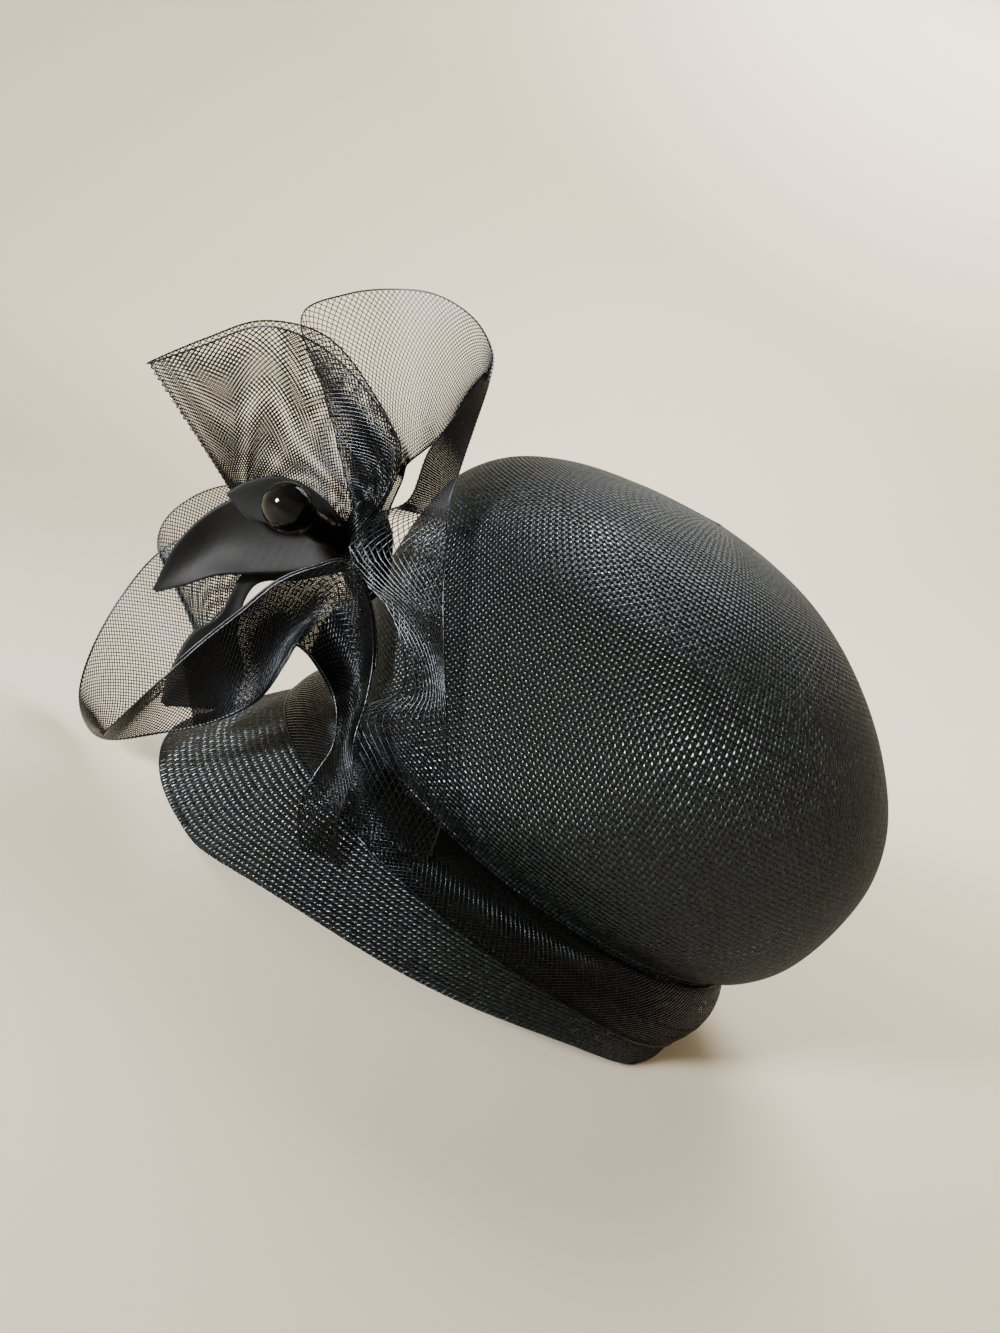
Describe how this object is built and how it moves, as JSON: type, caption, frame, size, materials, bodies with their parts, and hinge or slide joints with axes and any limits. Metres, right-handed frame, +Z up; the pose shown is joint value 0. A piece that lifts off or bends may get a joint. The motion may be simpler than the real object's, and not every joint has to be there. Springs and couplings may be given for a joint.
{
  "type": "cloche hat",
  "caption": "Black woven straw cloche with a bubble crown and bell brim, a sheer crin band and a crin bow with satin petals and a glossy bead at the wearer's left front",
  "frame": {"origin": "on the surface the hat rests on, under the middle of the whole hat's box", "axes": "+X to the wearer's left, +Y to the back of the head, +Z up; the brim's front is towards -Y"},
  "size_m": [0.218, 0.3358, 0.2016],
  "materials": {
    "straw": "glossy woven straw",
    "crin": "sheer horsehair mesh",
    "satin": "satin",
    "bead": "polished"
  },
  "bodies": {
    "root": {"crown": "straw", "brim": "straw", "crin_band": "crin", "loop_front": "crin", "loop_high": "crin", "sash_fall": "crin", "loop_low": "crin", "curl_tail": "crin", "flap": "crin", "knot": "crin", "petal_long": "satin", "petal_top": "satin", "petal_low": "satin", "petal_back": "satin", "bead_neck": "satin", "bead": "bead"}
  },
  "joints": []
}
